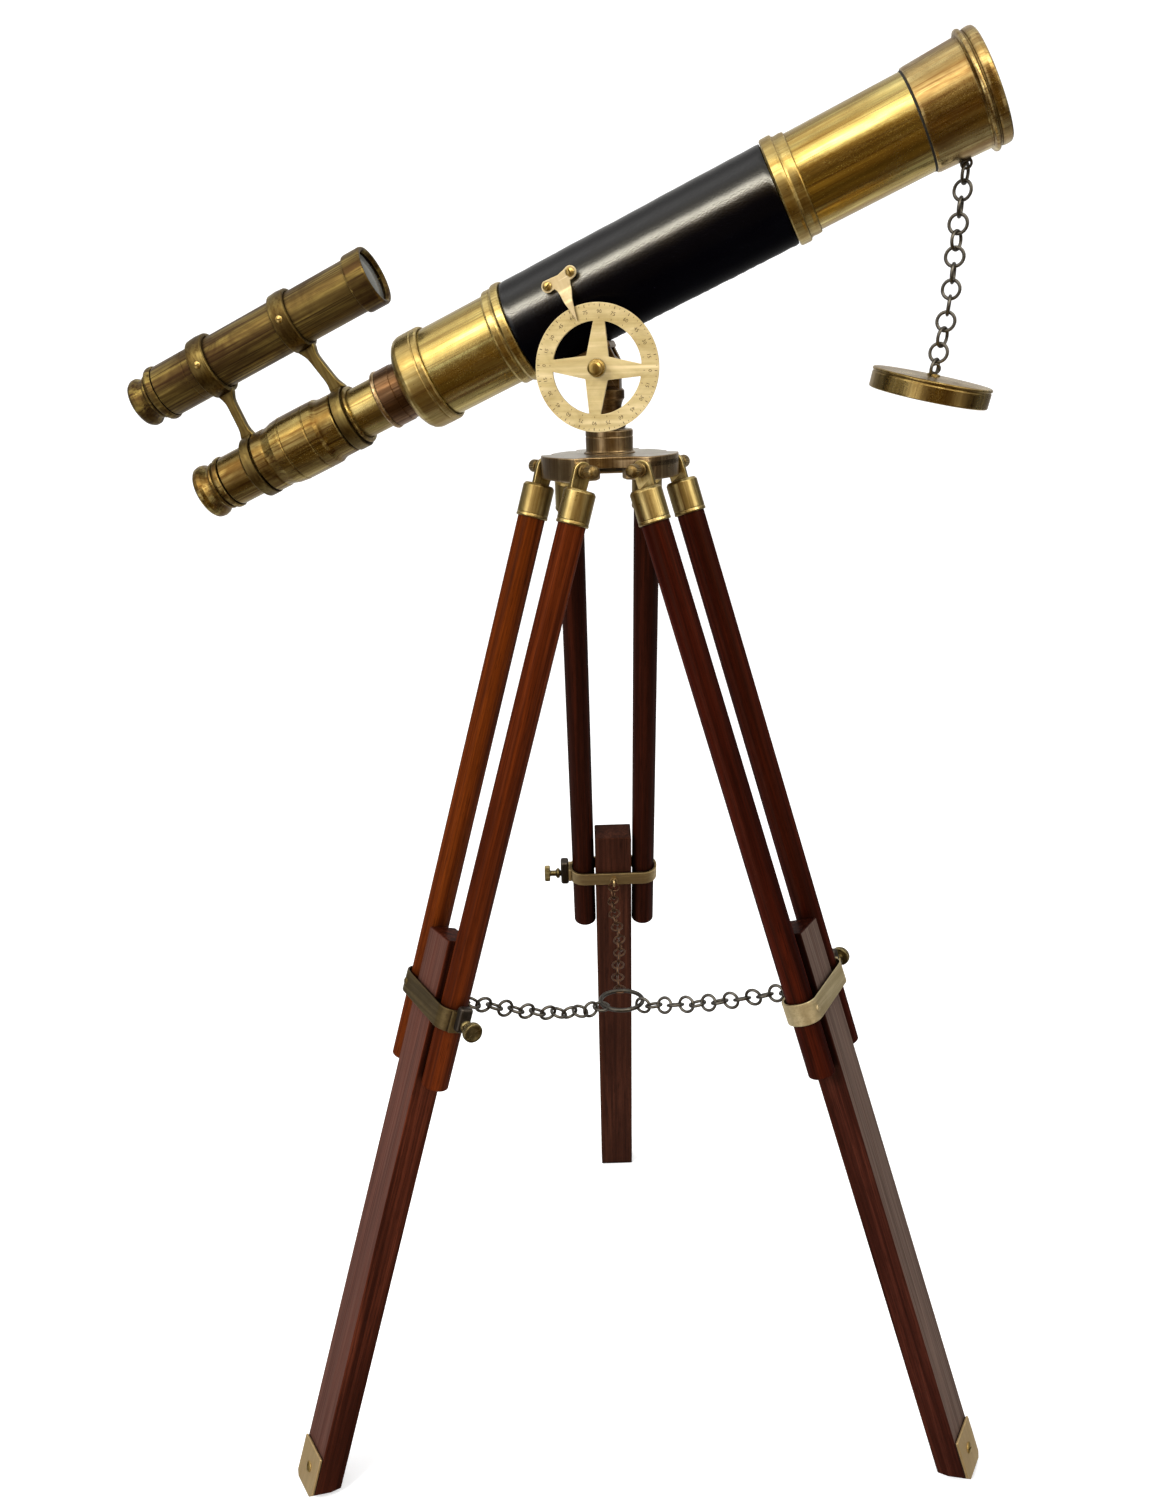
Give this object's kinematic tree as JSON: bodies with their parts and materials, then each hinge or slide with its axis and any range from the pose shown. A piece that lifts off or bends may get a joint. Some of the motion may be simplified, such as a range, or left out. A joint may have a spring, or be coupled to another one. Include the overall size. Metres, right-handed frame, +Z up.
{
  "type": "refracting telescope on tripod",
  "caption": "Brass refracting telescope with piggyback finder, graduated altitude circle and hanging lens cap, on a folding wooden tripod with sliding legs and a chain spreader.",
  "frame": {"origin": "on the floor plane, under the centre of the bounding box in the rest pose (legs open, tube 24 degrees up)", "axes": "+Z up; +X towards the objective end of the tube seen from the front, -Y towards the side with the altitude circle"},
  "size_m": [0.4508, 0.3326, 0.7392],
  "materials": {
    "brass": "polished antique brass, dark lacquer streaks",
    "pale_brass": "satin brass",
    "bronze": "dark antique finish over cast brass",
    "wood": "gloss varnished red-brown hardwood",
    "leather": "smooth black leather, stitched seam below",
    "steel": "dark oxidised wire",
    "glass": "clear"
  },
  "bodies": {
    "tripod_head": {"head_plate": "bronze", "hinge_bolt_left": "brass", "hinge_bolt_right": "brass", "hinge_bolt_back": "brass"},
    "azimuth_mount": {"azimuth_post": "bronze", "spindle_nut": "steel", "altitude_axle": "bronze", "altitude_circle": "pale_brass"},
    "lock_knob": {"altitude_lock_knob": "brass"},
    "tube": {"main_tube": "brass", "leather_sleeve": "leather", "front_flange": "brass", "rear_flange": "brass", "dew_shield": "brass", "objective_lens": "glass", "rear_cap": "brass", "tube_saddle": "bronze", "altitude_pointer": "pale_brass", "pointer_screw_1": "brass", "pointer_screw_2": "brass"},
    "draw_section": {"draw_tube": "brass", "eyepiece_barrel": "brass", "bracket_rear": "brass", "bracket_front": "brass", "finder_barrel": "brass", "finder_objective_cell": "brass", "finder_objective_lens": "glass"},
    "main_eyepiece": {"main_eyepiece": "brass", "main_eye_lens": "glass"},
    "finder_eyepiece": {"finder_eyepiece": "brass"},
    "hanging_cap": {"cap_chain": "steel", "lens_cap": "brass"},
    "spreader_ring": {"spreader_ring": "bronze"},
    "leg_left": {"leg_left_rod_a": "wood", "leg_left_rod_b": "wood", "leg_left_ferrule_a": "brass", "leg_left_ferrule_b": "brass", "leg_left_clamp_band": "pale_brass"},
    "leg_left_extension": {"leg_left_extension_bar": "wood", "leg_left_foot_plate": "pale_brass"},
    "clamp_screw_left": {"leg_left_clamp_screw": "brass"},
    "spreader_chain_left": {"spreader_chain_left": "steel"},
    "leg_right": {"leg_right_rod_a": "wood", "leg_right_rod_b": "wood", "leg_right_ferrule_a": "brass", "leg_right_ferrule_b": "brass", "leg_right_clamp_band": "pale_brass"},
    "leg_right_extension": {"leg_right_extension_bar": "wood", "leg_right_foot_plate": "pale_brass"},
    "clamp_screw_right": {"leg_right_clamp_screw": "brass"},
    "spreader_chain_right": {"spreader_chain_right": "steel"},
    "leg_back": {"leg_back_rod_a": "wood", "leg_back_rod_b": "wood", "leg_back_ferrule_a": "brass", "leg_back_ferrule_b": "brass", "leg_back_clamp_band": "pale_brass"},
    "leg_back_extension": {"leg_back_extension_bar": "wood", "leg_back_foot_plate": "pale_brass"},
    "clamp_screw_back": {"leg_back_clamp_screw": "brass"},
    "spreader_chain_back": {"spreader_chain_back": "steel"}
  },
  "joints": [
    {"name": "azimuth_turn", "type": "hinge", "parent": "tripod_head", "child": "azimuth_mount", "pos_m": [0.03333, -0.04885, 0.566], "axis": [0, 0, 1], "continuous": true},
    {"name": "altitude_tilt", "type": "hinge", "parent": "azimuth_mount", "child": "tube", "pos_m": [0.03333, -0.04885, 0.596], "axis": [-0.205, -0.9788, 0], "range_deg": [-50, 32]},
    {"name": "altitude_lock", "type": "hinge", "parent": "azimuth_mount", "child": "lock_knob", "pos_m": [0.03333, -0.04885, 0.596], "axis": [-0.205, -0.9788, 0], "range_deg": [-180, 180]},
    {"name": "focus_slide", "type": "slide", "parent": "tube", "child": "draw_section", "axis": [-0.8941, 0.1873, -0.4067], "range_m": [-0.012, 0.04]},
    {"name": "main_eyepiece_slide", "type": "slide", "parent": "draw_section", "child": "main_eyepiece", "axis": [-0.8941, 0.1873, -0.4067], "range_m": [0, 0.01]},
    {"name": "finder_eyepiece_slide", "type": "slide", "parent": "draw_section", "child": "finder_eyepiece", "axis": [-0.8941, 0.1873, -0.4067], "range_m": [0, 0.01]},
    {"name": "cap_hang", "type": "hinge", "parent": "tube", "child": "hanging_cap", "pos_m": [0.20037, -0.08384, 0.68227], "axis": [-0.205, -0.9788, 0], "range_deg": [-33, 51]},
    {"name": "leg_left_fold", "type": "hinge", "parent": "tripod_head", "child": "leg_left", "pos_m": [0.009, -0.0629, 0.547], "axis": [0.5, -0.866, 0], "range_deg": [0, 15]},
    {"name": "leg_left_extend", "type": "slide", "parent": "leg_left", "child": "leg_left_extension", "axis": [0.2669, 0.1541, 0.9513], "range_m": [-0.02, 0.2]},
    {"name": "clamp_left_turn", "type": "hinge", "parent": "leg_left", "child": "clamp_screw_left", "pos_m": [-0.06733, -0.10697, 0.27492], "axis": [0.5, -0.866, 0], "range_deg": [-180, 180]},
    {"name": "chain_left_swing", "type": "hinge", "parent": "leg_left", "child": "spreader_chain_left", "pos_m": [-0.05782, -0.10148, 0.27136], "axis": [-0.5, 0.866, 0], "range_deg": [0, 76.7]},
    {"name": "leg_right_fold", "type": "hinge", "parent": "tripod_head", "child": "leg_right", "pos_m": [0.05767, -0.0629, 0.547], "axis": [0.5, 0.866, 0], "range_deg": [0, 15]},
    {"name": "leg_right_extend", "type": "slide", "parent": "leg_right", "child": "leg_right_extension", "axis": [-0.2669, 0.1541, 0.9513], "range_m": [-0.02, 0.2]},
    {"name": "clamp_right_turn", "type": "hinge", "parent": "leg_right", "child": "clamp_screw_right", "pos_m": [0.134, -0.10697, 0.27492], "axis": [0.5, 0.866, 0], "range_deg": [-180, 180]},
    {"name": "chain_right_swing", "type": "hinge", "parent": "leg_right", "child": "spreader_chain_right", "pos_m": [0.12449, -0.10148, 0.27136], "axis": [-0.5, -0.866, 0], "range_deg": [0, 76.7]},
    {"name": "leg_back_fold", "type": "hinge", "parent": "tripod_head", "child": "leg_back", "pos_m": [0.03333, -0.02075, 0.547], "axis": [-1, 0, 0], "range_deg": [0, 15]},
    {"name": "leg_back_extend", "type": "slide", "parent": "leg_back", "child": "leg_back_extension", "axis": [0, -0.3082, 0.9513], "range_m": [-0.02, 0.2]},
    {"name": "clamp_back_turn", "type": "hinge", "parent": "leg_back", "child": "clamp_screw_back", "pos_m": [0.03333, 0.06739, 0.27492], "axis": [-1, 0, 0], "range_deg": [-180, 180]},
    {"name": "chain_back_swing", "type": "hinge", "parent": "leg_back", "child": "spreader_chain_back", "pos_m": [0.03333, 0.0564, 0.27136], "axis": [1, 0, 0], "range_deg": [0, 76.7]},
    {"name": "ring_drop", "type": "slide", "parent": "tripod_head", "child": "spreader_ring", "axis": [0, 0, -1], "range_m": [0, 0.0782]}
  ],
  "couplings": [
    {"joint": "cap_hang", "follows": "altitude_tilt", "ratio": -1},
    {"joint": "chain_left_swing", "follows": "leg_left_fold", "ratio": 5.0458},
    {"joint": "leg_right_fold", "follows": "leg_left_fold", "ratio": 1},
    {"joint": "chain_right_swing", "follows": "leg_left_fold", "ratio": 5.0458},
    {"joint": "leg_back_fold", "follows": "leg_left_fold", "ratio": 1},
    {"joint": "chain_back_swing", "follows": "leg_left_fold", "ratio": 5.0458},
    {"joint": "ring_drop", "follows": "leg_left_fold", "m_per_rad": 0.29113}
  ]
}
